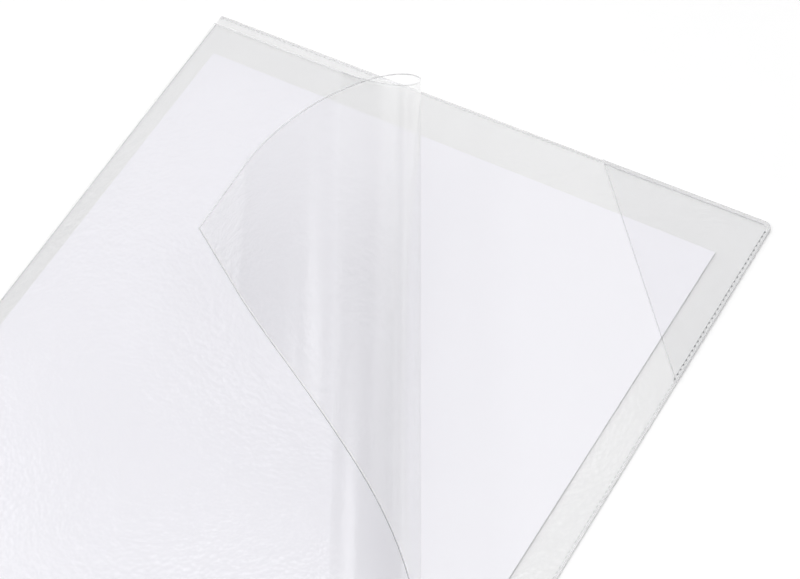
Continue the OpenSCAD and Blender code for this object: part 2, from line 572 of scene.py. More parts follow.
@dataclass
class Finishes:
    """Every finish of the pocket, made into materials on first use."""

    back_film: ClearFilm = ClearFilm("back_film_clear", (0.997, 0.997, 0.998), roughness=0.12)
    corner_film: ClearFilm = ClearFilm(
        "corner_film_clear", (0.993, 0.993, 0.994), roughness=0.14, crease=0.35, facing_reflection=0.02)
    cover_film: ClearFilm = ClearFilm("cover_film_clear", (0.998, 0.998, 0.999), roughness=0.16, crease=1.0)
    cover_roll: ClearFilm = ClearFilm(
        "cover_film_rolled", (0.998, 0.998, 0.999), roughness=0.19, crease=0.45, facing_reflection=0.08)
    glue: ClearFilm = ClearFilm(
        "glue_coat", (0.997, 0.997, 0.997), roughness=0.3, crease=1.5,
        facing_reflection=0.005, grazing_reflection=0.1)
    weld: ClearFilm = ClearFilm(
        "weld_clear", (0.998, 0.998, 0.999), roughness=0.2, crease=0.8,
        facing_reflection=0.01, grazing_reflection=0.05)
    mark: PaintedEdgeLightAndMark = PaintedEdgeLightAndMark("weld_mark", (0.45, 0.45, 0.46), cover=0.3)
    pale_mark: PaintedEdgeLightAndMark = PaintedEdgeLightAndMark("weld_mark_pale", (0.6, 0.6, 0.61), cover=0.15)
    dot: PaintedEdgeLightAndMark = PaintedEdgeLightAndMark("weld_dot", (0.22, 0.22, 0.23), cover=0.95)
    # Painted shade: a dark grey line on cut edges and on the outermost strip of a weld, for the dark line
    # that the clear edge shows.
    cut: PaintedEdgeLightAndMark = PaintedEdgeLightAndMark("film_cut_edge_painted_shade", (0.3, 0.31, 0.33), cover=0.6)
    # Painted highlight: near-white walls along the welded rim, for the bright outer line of the edge.
    welded: PaintedEdgeLightAndMark = PaintedEdgeLightAndMark("welded_edge", (0.95, 0.95, 0.955), cover=0.75)
    # Painted highlight: a near-white band along a film's rim, for the bright line that the clear edge throws.
    rim: PaintedEdgeLightAndMark = PaintedEdgeLightAndMark("film_rim_painted_highlight", (0.97, 0.97, 0.98), cover=0.5)
    # Painted shade: a grey band along the top edge of the rolled film and on a bar's inner slope, where the
    # clear film looks dark.
    line: PaintedEdgeLightAndMark = PaintedEdgeLightAndMark("film_rim_painted_shade", (0.35, 0.36, 0.38), cover=0.38)
    # Painted shade: a faint grey band along the triangle's open diagonal, for the dark line of its clear
    # edge.
    mouth: PaintedEdgeLightAndMark = PaintedEdgeLightAndMark("pocket_mouth_rim_painted_shade", (0.5, 0.5, 0.52), cover=0.16)
    # Painted highlight: a faint white band on a weld's top, for the bright strip along the seam.
    band: PaintedEdgeLightAndMark = PaintedEdgeLightAndMark("weld_band", (0.95, 0.95, 0.955), cover=0.3)
    # Painted shade: a faint grey line on the inner side of a weld and inside the cover film's top edge.
    step: PaintedEdgeLightAndMark = PaintedEdgeLightAndMark("weld_step_painted_shade", (0.5, 0.5, 0.52), cover=0.06)
    join: FilmJoin = FilmJoin("film_join")
    sheet: PaperStock = PaperStock("sheet_paper", (0.92, 0.913, 0.955), shade=0.975, roughness=0.8, cloud=0.5)
    liner: PaperStock = PaperStock("liner_paper", (0.95, 0.95, 0.952), shade=0.96, roughness=0.42, cloud=0.7)
    made: dict[str, bpy.types.Material] = field(default_factory=dict)

    def get(self, finish: ClearFilm | PaintedEdgeLightAndMark | FilmJoin | PaperStock) -> bpy.types.Material:
        """Gives a finish's material, built once.

        Args:
            finish: The finish.

        Returns:
            Its material.
        """
        if finish.name not in self.made:
            self.made[finish.name] = finish.material()
        return self.made[finish.name]

    def film_set(self, film: ClearFilm) -> dict[Face, bpy.types.Material]:
        """Gives the materials of a film.

        Args:
            film: Finish of its broad faces.

        Returns:
            Materials by their places.
        """
        # Every place but the broad face and the join is painted highlight or painted shade.
        places = {
            Face.BROAD: film, Face.RIM: self.rim, Face.LINE: self.line, Face.MOUTH: self.mouth,
            Face.BAND: self.band, Face.STEP: self.step, Face.CUT: self.cut, Face.WELD: self.welded,
            Face.JOIN: self.join}
        return {place: self.get(finish) for place, finish in places.items()}


def mesh_object(
    name: str, mesh: bmesh.types.BMesh, materials: Sequence[bpy.types.Material]
) -> bpy.types.Object:
    """Turns a finished bmesh into an object in the scene.

    Args:
        name: Name of the piece.
        mesh: The mesh, which is freed.
        materials: Its materials in order.

    Returns:
        The object, at the origin.
    """
    data = bpy.data.meshes.new(name)
    mesh.to_mesh(data)
    mesh.free()
    for material in materials:
        data.materials.append(material)
    piece = bpy.data.objects.new(name, data)
    bpy.context.scene.collection.objects.link(piece)
    return piece


@dataclass
class Sheet:
    """Closed thin solid: an upper and a lower skin over the same faces, with walls along the open edges.

    Points are in millimetres, and faces run anticlockwise seen from the upper skin.
    """

    curved: bool = False
    upper: list[Point] = field(default_factory=list)
    lower: list[Point] = field(default_factory=list)
    faces: list[tuple[tuple[int, ...], Face]] = field(default_factory=list)

    def add(self, upper: Point, lower: Point) -> int:
        """Adds a point of both skins.

        Args:
            upper: The point of the upper skin.
            lower: The point of the lower skin.

        Returns:
            Its number.
        """
        self.upper.append(upper)
        self.lower.append(lower)
        return len(self.upper) - 1

    def add_flat(self, spot: Spot, heights: tuple[float, float]) -> int:
        """Adds a point of a flat stretch, between a lower and an upper height, and gives its number."""
        return self.add((*spot, heights[1]), (*spot, heights[0]))

    def build(
        self, name: str, materials: dict[Face, bpy.types.Material], wall: Callable[[int, int], Face]
    ) -> bpy.types.Object:
        """Makes the mesh object.

        Args:
            name: Name of the piece.
            materials: Materials by their places.
            wall: Gives the place of the wall between two points.

        Returns:
            The object, at the origin.
        """
        mesh = bmesh.new()
        top = [mesh.verts.new([c * MM for c in p]) for p in self.upper]
        low = [mesh.verts.new([c * MM for c in p]) for p in self.lower]
        open_sides: dict[tuple[int, int], None] = {}
        used: dict[Face, int] = {}
        for ring, place in self.faces:
            for corners in ([top[i] for i in ring], [low[i] for i in reversed(ring)]):
                face = mesh.faces.new(corners)
                face.material_index, face.smooth = used.setdefault(place, len(used)), self.curved
            for a, b in zip(ring, ring[1:] + ring[:1]):
                if (b, a) in open_sides:
                    del open_sides[b, a]
                else:
                    open_sides[a, b] = None
        for a, b in open_sides:
            face = mesh.faces.new((top[b], top[a], low[a], low[b]))
            face.material_index = used.setdefault(wall(a, b), len(used))
            for edge in face.edges:
                edge.smooth = False
        bmesh.ops.remove_doubles(mesh, verts=mesh.verts[:], dist=MERGE_DISTANCE)
        return mesh_object(name, mesh, [materials[place] for place in used])

    def build_plain(self, name: str, material: bpy.types.Material) -> bpy.types.Object:
        """Makes the mesh object with one material all over."""
        return self.build(name, {Face.BROAD: material}, lambda a, b: Face.BROAD)


def flat_sheet(outline: Sequence[Spot], heights: tuple[float, float]) -> Sheet:
    """Makes a flat sheet of one face.

    Args:
        outline: Its corners, anticlockwise, in millimetres.
        heights: Heights of its lower and upper skin.

    Returns:
        The sheet.
    """
    sheet = Sheet()
    ring = tuple(sheet.add_flat(spot, heights) for spot in outline)
    sheet.faces.append((ring, Face.BROAD))
    return sheet


def fit(
    piece: bpy.types.Object, slot: Slot, body: Body | str | None = None, replaces: Iterable[str] = ()
) -> bpy.types.Object:
    """Puts a piece on its body and hides the CAD nodes that it stands for.

    Args:
        piece: The finished piece.
        slot: Its material slot; not used.
        body: The body that carries it, or nothing where it bends between two.
        replaces: CAD nodes that it stands for.

    Returns:
        The piece.
    """
    if body is not None:
        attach(piece, body.value if isinstance(body, Body) else body)
    if replaces:
        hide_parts(*replaces)
    return piece


@dataclass
class Rim:
    """Outline of the pocket, anticlockwise, with round corners on its right side."""

    layers: Layers
    steps: int = 10

    def centre(self, upper: bool) -> Spot:
        """Gives the middle of the upper or the lower round corner."""
        r = self.layers.corner_radius
        return self.layers.width / 2 - r, (self.layers.height / 2 - r) * (1 if upper else -1)

    def corner(self, upper: bool, inset: float = 0.0) -> list[Spot]:
        """Gives the points of one round corner.

        Args:
            upper: Whether it is the upper one.
            inset: Distance from the rim.

        Returns:
            The points, anticlockwise.
        """
        x, y = self.centre(upper)
        radius = self.layers.corner_radius - inset
        first, last = (0.0, math.pi / 2) if upper else (-math.pi / 2, 0.0)
        return [(x + radius * math.cos(a), y + radius * math.sin(a)) for a in spread(first, last, self.steps)]

    def outline(self, inset: float = 0.0) -> list[Spot]:
        """Gives the whole outline, drawn in from the rim."""
        x, y = inset - self.layers.width / 2, self.layers.height / 2 - inset
        return [(x, -y), *self.corner(False, inset), *self.corner(True, inset), (x, y)]


@dataclass
class BackPanel:
    """The glued back: back film, adhesive coat and the two halves of the release liner."""

    layers: Layers
    rim: Rim
    finishes: Finishes
    slit: float = 0.6

    def build(self) -> list[bpy.types.Object]:
        """Builds and dresses the four layers.

        Returns:
            The pieces.
        """
        looks = self.finishes
        film = flat_sheet(self.rim.outline(), self.layers.back_film)
        # Every wall of the back film is painted highlight, a near-white colour.
        film_piece = film.build("back_film_sheet", looks.film_set(looks.back_film), lambda a, b: Face.WELD)
        glue = flat_sheet(self.rim.outline(self.layers.seam_width), self.layers.adhesive)
        glue_piece = glue.build_plain("glue_layer", looks.get(looks.glue))
        return [
            fit(film_piece, Slot.BACK_FILM, Body.POCKET, ["back_film"]),
            fit(glue_piece, Slot.ADHESIVE, Body.POCKET, ["adhesive_coat"]),
            self.liner_half("liner_upper", True, Body.UPPER_LINER),
            self.liner_half("liner_lower", False, Body.LOWER_LINER),
        ]

    def liner_half(self, node: str, upper: bool, body: Body) -> bpy.types.Object:
        """Builds one half of the liner.

        Args:
            node: The CAD node that it stands for.
            upper: Whether it is the upper half.
            body: The body that carries it.

        Returns:
            The piece.
        """
        x, slit = self.layers.width / 2, self.slit / 2
        if upper:
            outline = [(-x, slit), (x, slit), *self.rim.corner(True), (-x, self.layers.height / 2)]
        else:
            outline = [(-x, -self.layers.height / 2), *self.rim.corner(False), (x, -slit), (-x, -slit)]
        sheet = flat_sheet(outline, self.layers.liner)
        piece = sheet.build_plain(node + "_paper", self.finishes.get(self.finishes.liner))
        return fit(piece, Slot.LINER, body, [node])


@dataclass
class CornerPocket:
    """Clear triangle over the sheet's upper right corner, welded along its legs and open on its diagonal."""

    layers: Layers
    rim: Rim
    finishes: Finishes
    mouth: float = 0.3
    # From the rim inwards along the legs: a line of painted shade, a band of painted highlight and a faint
    # line of painted shade; the mouth along the diagonal is painted shade too.
    weld: tuple[tuple[float, Face], ...] = ((0.1, Face.CUT), (1.3, Face.BAND), (1.45, Face.STEP))

    def ends(self, inset: float, back: float = 0.0) -> tuple[Spot, Spot]:
        """Gives the two ends of a line along both legs.

        Args:
            inset: Distance of the line from the rim.
            back: Distance of its ends from the diagonal.

        Returns:
            The end on the right leg and the end on the top leg.
        """
        x, y = self.layers.width / 2, self.layers.height / 2
        top, right = self.layers.triangle_top, self.layers.triangle_right
        steep, reach = right / top, back * math.hypot(top, right)
        on_right = (x - inset, y - right + steep * inset + reach / top)
        on_top = (x - top + inset / steep + reach / right, y - inset)
        return on_right, on_top

    def build(self) -> list[bpy.types.Object]:
        """Builds and dresses the triangle, with lines of painted shade and painted highlight along its welded
        legs.

        Returns:
            The piece.
        """
        sheet, heights = Sheet(), self.layers.corner_film
        lines = []
        for inset in (0.0, *(inset for inset, _ in self.weld)):
            right, top = self.ends(inset)
            spots = (right, *self.rim.corner(True, inset), top)
            lines.append([sheet.add_flat(spot, heights) for spot in spots])
        for outer, inner, (_, place) in zip(lines, lines[1:], self.weld):
            for i in range(len(outer) - 1):
                sheet.faces.append(((outer[i], outer[i + 1], inner[i + 1], inner[i]), place))
        right, *corner, top = lines[-1]
        lip = [sheet.add_flat(spot, heights) for spot in self.ends(self.weld[-1][0], self.mouth)]
        sheet.faces.append(((right, lip[0], lip[1], top), Face.MOUTH))
        sheet.faces.append(((lip[0], *corner, lip[1]), Face.BROAD))

        def wall(a: int, b: int) -> Face:
            """Gives a welded edge in painted highlight along the rim and a mouth in painted shade along the
            diagonal.
            """
            return Face.WELD if a in lines[0] and b in lines[0] else Face.MOUTH

        piece = sheet.build("corner_film_sheet", self.finishes.film_set(self.finishes.corner_film), wall)
        return [fit(piece, Slot.CORNER_FILM, Body.POCKET, ["corner_pocket"])]


@dataclass
class Document:
    """The blank sheet of paper, almost flat, with its right edge a little off the back film."""

    layers: Layers
    finishes: Finishes
    width: float = 210.0
    height: float = 297.0
    centre: Spot = (-3.6, -6.0)
    skew: float = math.radians(-0.42)
    lift: float = 0.35
    flat_share: float = 0.72
    lift_start: float = 60.0
    lift_run: float = 120.0
    columns: int = 42
    rows: int = 60

    def rise(self, x: float, y: float) -> float:
        """Gives the paper's height over its flat place, as it lifts towards its lower right edge.

        Args:
            x: Distance to the right of its own middle.
            y: Distance above its own middle.

        Returns:
            The height.
        """
        edge = max(0.0, (x / (self.width / 2) - self.flat_share) / (1.0 - self.flat_share))
        down = min(1.0, max(0.0, (self.lift_start - y) / self.lift_run))
        return self.lift * edge * edge * down * down * (3 - 2 * down)

    def build(self) -> list[bpy.types.Object]:
        """Builds and dresses the sheet.

        Returns:
            The piece.
        """
        low, high = self.layers.sheet
        c, s = math.cos(self.skew), math.sin(self.skew)
        sheet = Sheet(curved=True)
        for y in spread(-self.height / 2, self.height / 2, self.rows):
            for x in spread(-self.width / 2, self.width / 2, self.columns):
                up = self.rise(x, y)
                px, py = self.centre[0] + x * c - y * s, self.centre[1] + x * s + y * c
                sheet.add((px, py, high + up), (px, py, low + up))
        wide = self.columns + 1
        for row in range(self.rows):
            for column in range(self.columns):
                at = row * wide + column
                sheet.faces.append(((at, at + 1, at + wide + 1, at + wide), Face.BROAD))
        piece = sheet.build_plain("document_paper", self.finishes.get(self.finishes.sheet))
        return [fit(piece, Slot.PAPER, Body.DOCUMENT, ["document_sheet"])]


@dataclass
class CoverFilm:
    """The cover film: flat where it lies on the sheet, then rolled back over itself to its free corner."""

    layers: Layers
    roll: RollPath
    finishes: Finishes
    # Distances from the right and from the top edge to the inner ends of bands of painted shade and painted
    # highlight.
    right_painted_bands: tuple[float, float] = (0.18, 0.48)
    top_painted_bands: tuple[float, float] = (0.25, 0.45)
    steps: int = 28
    end_steps: int = 12

    def edges(self, s: float) -> list[float]:
        """Gives places along the roll at one flat distance.

        Args:
            s: Flat distance across the roll.

        Returns:
            Places of the right edge and of its bands of painted shade and painted highlight, then of the top
            edge's bands of painted shade and painted highlight and of the top edge.
        """
        right, top = self.roll.right_end(s), self.roll.top_end(s)
        c, n = math.cos(self.roll.turn), math.sin(self.roll.turn)
        middle = (right * n + top * c) / (n + c)
        right_painted_bands = [min(self.roll.right_end(s, w), middle) for w in self.right_painted_bands]
        top_painted_bands = [max(self.roll.top_end(s, w), middle) for w in reversed(self.top_painted_bands)]
        return [right, *right_painted_bands, *top_painted_bands, top]

    def rolled(self, name: str, stations: Sequence[float], last: bool = False) -> bpy.types.Object:
        """Builds a stretch of the rolled film.

        Args:
            name: Name of the piece.
            stations: Flat distances of its lines, in order.
            last: Whether it ends in the free corner.

        Returns:
            The piece.
        """
        sheet, half = Sheet(curved=True), self.layers.film / 2
        # Across the strip from its right edge: painted shade, painted highlight, clear film, painted shade,
        # and painted highlight at the top edge.
        places = (Face.CUT, Face.RIM, Face.BROAD, Face.LINE, Face.RIM)
        wide = len(places) + 1
        for s in stations:
            for v in self.edges(s):
                sheet.add(self.roll.place(s, v, half), self.roll.place(s, v, -half))
        for row in range(len(stations) - 1):
            for column, place in enumerate(places):
                at = row * wide + column
                sheet.faces.append(((at, at + wide, at + wide + 1, at + 1), place))
        joined_rows = {0} if last else {0, len(stations) - 1}

        def wall(a: int, b: int) -> Face:
            """Gives the place of a wall.

            Args:
                a: Number of its first point.
                b: Number of its second point.

            Returns:
                A join to the next strip, the cut right edge in painted shade or the top edge in painted
                highlight.
            """
            if a // wide == b // wide and a // wide in joined_rows:
                return Face.JOIN
            return Face.CUT if a % wide == 0 and b % wide == 0 else Face.RIM

        return sheet.build(name, self.finishes.film_set(self.finishes.cover_roll), wall)

    def flat(self) -> bpy.types.Object:
        """Builds the flat part, up to the foot of the roll.

        Returns:
            The piece.
        """
        sheet, heights, at = Sheet(), self.layers.cover_film, self.roll.foot
        left, bottom = -self.layers.width / 2, -self.layers.height / 2
        right, top = self.layers.cover_right, self.layers.cover_top
        foot = [sheet.add_flat(self.roll.place(at, v)[:2], heights) for v in self.edges(at)]
        ends = [sheet.add_flat((right - w, bottom), heights) for w in (0.0, *self.right_painted_bands)]
        tops = [sheet.add_flat((left, top - w), heights) for w in (0.0, *self.top_painted_bands)]
        corner = sheet.add_flat((left, bottom), heights)
        # Along the right edge a band of painted shade, then one of painted highlight; along the top edge a
        # faint line of painted shade, then a band of painted highlight; the rest is clear film.
        sheet.faces += [
            ((ends[1], ends[0], foot[0], foot[1]), Face.CUT),
            ((ends[2], ends[1], foot[1], foot[2]), Face.RIM),
            ((corner, ends[2], foot[2], foot[3], tops[2]), Face.BROAD),
            ((tops[2], foot[3], foot[4], tops[1]), Face.STEP),
            ((tops[1], foot[4], foot[5], tops[0]), Face.RIM),
        ]

        def wall(a: int, b: int) -> Face:
            """Gives the place of a wall.

            Args:
                a: Number of its first point.
                b: Number of its second point.

            Returns:
                A join to the first strip, the cut right edge in painted shade or a welded edge in painted
                highlight.
            """
            if a in foot and b in foot:
                return Face.JOIN
            return Face.CUT if {a, b} == {ends[0], foot[0]} else Face.WELD

        return sheet.build("cover_film_flat", self.finishes.film_set(self.finishes.cover_film), wall)

    def bent(self, k: int) -> bpy.types.Object:
        """Builds and dresses the film of one bend, and puts it on no body.

        Args:
            k: Number of the bend, from 1 at the foot of the roll.

        Returns:
            The piece.
        """
        start, end = self.roll.flat_at(k - 1), self.roll.flat_at(k)
        piece = self.rolled(f"cover_film_bend_{k}", spread(start, end, self.steps))
        first, last = ([c * MM for c in self.roll.place(s, 0.0)] for s in (start, end))
        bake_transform(piece)
        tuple(first)
        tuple(last)
        return fit(piece, Slot.COVER_FILM, None, [f"cover_flap_{k}"])

    def straight_end(self) -> bpy.types.Object:
        """Builds and dresses the straight end with the free corner, where the bands of painted highlight and
        painted shade along the edges run out one by one.

        Returns:
            The piece.
        """
        count = len(self.roll.bends)
        start, corner = self.roll.flat_at(count), self.roll.free_corner
        share = math.sin(self.roll.turn) + math.cos(self.roll.turn)
        meets = sorted(corner - w * share for w in (*self.right_painted_bands, *self.top_painted_bands))
        stations = [*spread(start, meets[0], self.end_steps), *meets[1:], corner]
        return fit(self.rolled("cover_film_end", stations, last=True), Slot.COVER_FILM, f"flap_{count}")

    def build(self) -> list[bpy.types.Object]:
        """Builds and dresses the flat part, one piece for each bend, and the straight end.

        Returns:
            The pieces.
        """
        flat = fit(self.flat(), Slot.COVER_FILM, Body.POCKET, ["cover_film"])
        return [flat, *(self.bent(k + 1) for k in range(len(self.roll.bends))), self.straight_end()]


@dataclass(frozen=True)
class Seam:
    """One welded seam: its course along the rim, its section and its row of marks, in millimetres.

    The marks follow the first marked points of the course, or all of it.
    """

    name: str
    course: Course
    kind: SeamKind
    height: float
    marks: Marks
    marks_in: float
    marks_up: float
    marked: int | None = None


@dataclass
class Seams:
    """Welded rim: six seams, and the knurl that the welding tool pressed along them, in millimetres.

    The points of a section are shares of the seam's width, inwards from the rim, and shares of its height.
    A mark's size is its length along the seam, its width across it and its height.
    """

    layers: Layers
    rim: Rim
    finishes: Finishes
    gap: float = 0.005
    # Section of a bar: clear weld all round, but on bars between two films one inner slope is painted shade.
    bar_sides: tuple[tuple[float, float, Face], ...] = (
        (0.0125, 0.0, Face.BROAD), (1.0, 0.0, Face.BROAD), (0.9375, 0.3, Face.BROAD),
        (0.625, 0.95, Face.BROAD), (0.53125, 1.0, Face.BROAD), (0.05, 1.0, Face.BROAD),
        (0.0125, 0.8, Face.BROAD))
    # Number of the slope that is painted shade on bars between two films.
    painted_shade_slope: int = 3
    bead_flat: float = 0.52
    # Section of a bead: a band of painted highlight on its top, then a line of painted shade, and painted
    # highlight on the slope by the rim.
    bead_sides: tuple[tuple[float, float, Face], ...] = (
        (0.01875, 0.0, Face.BROAD), (1.0, 0.0, Face.BROAD), (0.9375, 0.3, Face.BROAD),
        (0.75, 0.5, Face.BROAD), (0.5, bead_flat, Face.BAND), (0.375, 0.7, Face.BAND),
        (0.28125, 0.92, Face.BAND), (0.2, 1.0, Face.BAND), (0.125, 0.92, Face.STEP), (0.05, 0.6, Face.WELD))
    marks_in: float = 1.1
    bead_marks_in: float = 1.15
    corner_marks_in: float = 1.2
    marks_trim: float = 1.2
    marks_pitch: float = 2.0
    dash_size: Point = (1.3, 0.24, 0.1)
    pale_size: Point = (1.3, 0.2, 0.08)
    dot_size: Point = (0.75, 0.65, 0.16)
    covered_size: Point = (1.2, 0.3, 0.08)
    mark_segments: int = 8
    mark_rings: int = 4

    @staticmethod
    def straight(start: Spot, end: Spot, way: Spot) -> Course:
        """Gives a straight run of the rim, with the direction inwards."""
        return [(Vector(start), Vector(way)), (Vector(end), Vector(way))]

    def rounded(self, upper: bool) -> Course:
        """Gives the upper or the lower round corner of the rim, with the direction inwards."""
        centre = Vector(self.rim.centre(upper))
        return [(Vector(p), (centre - Vector(p)).normalized()) for p in self.rim.corner(upper)]

    def seams(self) -> list[Seam]:
        """Lays out the six seams along the rim, anticlockwise from the bottom.

        Returns:
            The seams.
        """
        x, y, r = self.layers.width / 2, self.layers.height / 2, self.layers.corner_radius
        under = self.layers.back_film[1] + self.gap
        bare, film = self.layers.seam_height, self.layers.film
        corner, cover = self.layers.corner_film[0] - under, self.layers.cover_film[0] - under
        meet_x, meet_y = x - self.layers.triangle_top, y - self.layers.triangle_right
        from_left, from_right, from_bottom, from_top = (1.0, 0.0), (-1.0, 0.0), (0.0, 1.0), (0.0, -1.0)
        bottom = self.straight((-x + self.layers.seam_width, -y), (self.layers.cover_right, -y), from_bottom)
        right = self.rounded(False) + self.straight((x, -y + r), (x, meet_y), from_right)[1:]
        corner_right = self.straight((x, meet_y), (x, y - r), from_right)[:1] + self.rounded(True)
        corner_top = self.straight((x - r, y), (meet_x, y), from_top)
        top = self.straight((meet_x, y), (-x, y), from_top)
        left = self.straight((-x, self.layers.cover_top), (-x, -y), from_left)
        bead_up, corner_up, cover_up = bare * self.bead_flat, corner + film, cover + film
        bead_in, corner_in = self.bead_marks_in, self.corner_marks_in
        return [
            Seam("bottom_seam", bottom, SeamKind.BAR_WITH_PAINTED_SHADE, cover, Marks.COVERED, self.marks_in, cover_up),
            Seam("right_seam", right, SeamKind.BEAD, bare, Marks.DASHES, bead_in, bead_up),
            Seam("corner_right_seam", corner_right, SeamKind.BAR, corner, Marks.DOTS, corner_in, corner_up,
                 marked=2),
            Seam("corner_top_seam", corner_top, SeamKind.BAR, corner, Marks.PALE, corner_in, corner_up),
            Seam("top_seam", top, SeamKind.BEAD, bare, Marks.PALE, bead_in, bead_up),
            Seam("left_seam", left, SeamKind.BAR_WITH_PAINTED_SHADE, cover, Marks.COVERED, self.marks_in, cover_up),
        ]

    def section(self, kind: SeamKind, height: float) -> list[tuple[float, float, Face]]:
        """Gives a seam's section.

        Args:
            kind: Kind of the section.
            height: Height of the seam.

        Returns:
            Distances inwards, heights over the back film and the place of the face after each point.
        """
        sides = list(self.bead_sides if kind is SeamKind.BEAD else self.bar_sides)
        # Bars between two films get painted shade on their inner slope.
        if kind is SeamKind.BAR_WITH_PAINTED_SHADE:
            sides[self.painted_shade_slope] = (*sides[self.painted_shade_slope][:2], Face.LINE)
        width = self.layers.seam_width
        return [(inset * width, max(up * height, self.gap), place) for inset, up, place in sides]

    def bar(self, seam: Seam) -> bpy.types.Object:
        """Sweeps a seam's section along its course.

        Args:
            seam: The seam.

        Returns:
            The piece.
        """
        mesh = bmesh.new()
        floor, section = self.layers.back_film[1], self.section(seam.kind, seam.height)
        rings = []
        for point, way in seam.course:
            spots = [(*(point + way * inset), floor + up) for inset, up, _ in section]
            rings.append([mesh.verts.new([c * MM for c in spot]) for spot in spots])
        used = list(dict.fromkeys([Face.BROAD, *(place for _, _, place in section)]))
        count = len(section)
        for a, b in zip(rings, rings[1:]):
            for i in range(count):
                j = (i + 1) % count
                face = mesh.faces.new((a[i], b[i], b[j], a[j]))
                face.smooth, face.material_index = True, used.index(section[i][2])
        mesh.faces.new(rings[0])
        mesh.faces.new(list(reversed(rings[-1])))
        bmesh.ops.recalc_face_normals(mesh, faces=mesh.faces[:])
        looks = self.finishes.film_set(self.finishes.weld)
        return mesh_object(seam.name + "_bar", mesh, [looks[place] for place in used])

    def knurl_tree(self) -> bpy.types.NodeTree:
        """Builds the node tree that presses marks along a path, at even steps.

        Returns:
            The tree.
        """
        tree = bpy.data.node_groups.new("weld_knurl", "GeometryNodeTree")
        tree.interface.new_socket("Geometry", in_out="INPUT", socket_type="NodeSocketGeometry")
        for socket in ("Pitch", "Along", "Across", "Height"):
            tree.interface.new_socket(socket, in_out="INPUT", socket_type="NodeSocketFloat")
        tree.interface.new_socket("Material", in_out="INPUT", socket_type="NodeSocketMaterial")
        tree.interface.new_socket("Geometry", in_out="OUTPUT", socket_type="NodeSocketGeometry")
        n = Nodes(tree)
        start, end = n.add("NodeGroupInput"), n.add("NodeGroupOutput")
        given = start.outputs
        curve = n.add("GeometryNodeMeshToCurve", {0: given["Geometry"]})
        step = {"Curve": curve.outputs[0], "Length": given["Pitch"]}
        even = n.add("GeometryNodeResampleCurve", step, mode="LENGTH")
        # A ball of diameter 1, which the mark's size then scales.
        ball = n.add("GeometryNodeMeshUVSphere", {
            "Segments": self.mark_segments, "Rings": self.mark_rings, "Radius": 0.5})
        size = n.add("ShaderNodeCombineXYZ", {0: given["Along"], 1: given["Across"], 2: given["Height"]})
        tangent = n.add("GeometryNodeInputTangent")
        turn = n.add("FunctionNodeAlignRotationToVector", {"Vector": tangent.outputs[0]}, axis="X")
        spots = n.add("GeometryNodeInstanceOnPoints", {
            "Points": even.outputs[0], "Instance": ball.outputs[0], "Rotation": turn.outputs[0],
            "Scale": size.outputs[0]})
        real = n.add("GeometryNodeRealizeInstances", {0: spots.outputs[0]})
        dressed = n.add("GeometryNodeSetMaterial", {0: real.outputs[0], "Material": given["Material"]})
        tree.links.new(dressed.outputs[0], end.inputs[0])
        return tree

    def knurl(
        self, tree: bpy.types.NodeTree, row: Marks, lines: Sequence[Sequence[Point]], size: Point,
        finish: PaintedEdgeLightAndMark,
    ) -> bpy.types.Object:
        """Makes one row of marks along open lines.

        Args:
            tree: The knurl's node tree.
            row: The row, which names the piece.
            lines: Points of each line, in millimetres.
            size: Length along the line, width across it and height of a mark, in millimetres.
            finish: Finish of the marks.

        Returns:
            The piece, as a plain mesh.
        """
        name, material = row.value, self.finishes.get(finish)
        data = bpy.data.meshes.new(name + "_path")
        points = [[c * MM for c in p] for line in lines for p in line]
        links, at = [], 0
        for line in lines:
            links += [(at + i, at + i + 1) for i in range(len(line) - 1)]
            at += len(line)
        data.from_pydata(points, links, [])
        path = bpy.data.objects.new(name + "_path", data)
        bpy.context.scene.collection.objects.link(path)
        modifier = path.modifiers.new("knurl", "NODES")
        modifier.node_group = tree
        sockets = {s.name: s.identifier for s in tree.interface.items_tree if s.in_out == "INPUT"}
        values = dict(zip(("Pitch", "Along", "Across", "Height"), (self.marks_pitch, *size)))
        for socket, value in values.items():
            modifier[sockets[socket]] = value * MM
        modifier[sockets["Material"]] = material
        evaluated = path.evaluated_get(bpy.context.evaluated_depsgraph_get())
        marks = bpy.data.meshes.new_from_object(evaluated)
        marks.name = name
        marks.materials.clear()
        marks.materials.append(material)
        marks.polygons.foreach_set("material_index", [0] * len(marks.polygons))
        path.modifiers.remove(modifier)
        bpy.data.objects.remove(path)
        piece = bpy.data.objects.new(name, marks)
        bpy.context.scene.collection.objects.link(piece)
        return piece

    def mark_line(self, seam: Seam) -> list[Point]:
        """Gives the line of a seam's marks, cut short at straight ends, so that no mark stands out past them.

        Args:
            seam: The seam.

        Returns:
            Points of the line.
        """
        line = [point + way * seam.marks_in for point, way in seam.course[:seam.marked]]
        trim = self.marks_trim
        for end, way in ((0, line[1] - line[0]), (-1, line[-2] - line[-1])):
            if way.length > trim:
                line[end] = line[end] + way.normalized() * trim
        return [(*point, self.layers.back_film[1] + seam.marks_up) for point in line]

    def build(self) -> list[bpy.types.Object]:
        """Builds and dresses the six bars and the rows of marks.

        Returns:
            The pieces.
        """
        pieces = []
        lines: dict[Marks, list[list[Point]]] = {row: [] for row in Marks}
        for seam in self.seams():
            pieces.append(fit(self.bar(seam), Slot.SEAM, Body.POCKET, [seam.name]))
            lines[seam.marks].append(self.mark_line(seam))
        looks, tree = self.finishes, self.knurl_tree()
        rows = (
            (Marks.DASHES, self.dash_size, looks.mark), (Marks.PALE, self.pale_size, looks.pale_mark),
            (Marks.DOTS, self.dot_size, looks.dot), (Marks.COVERED, self.covered_size, looks.mark))
        for row, size, finish in rows:
            pieces.append(fit(self.knurl(tree, row, lines[row], size, finish), Slot.SEAM, Body.POCKET))
        return pieces


@dataclass(frozen=True)
class Lamp:
    """One soft studio lamp over the table, in metres and watts."""

    name: str
    place: Point
    aim: Point
    along: Point
    size: tuple[float, float]
    power: float


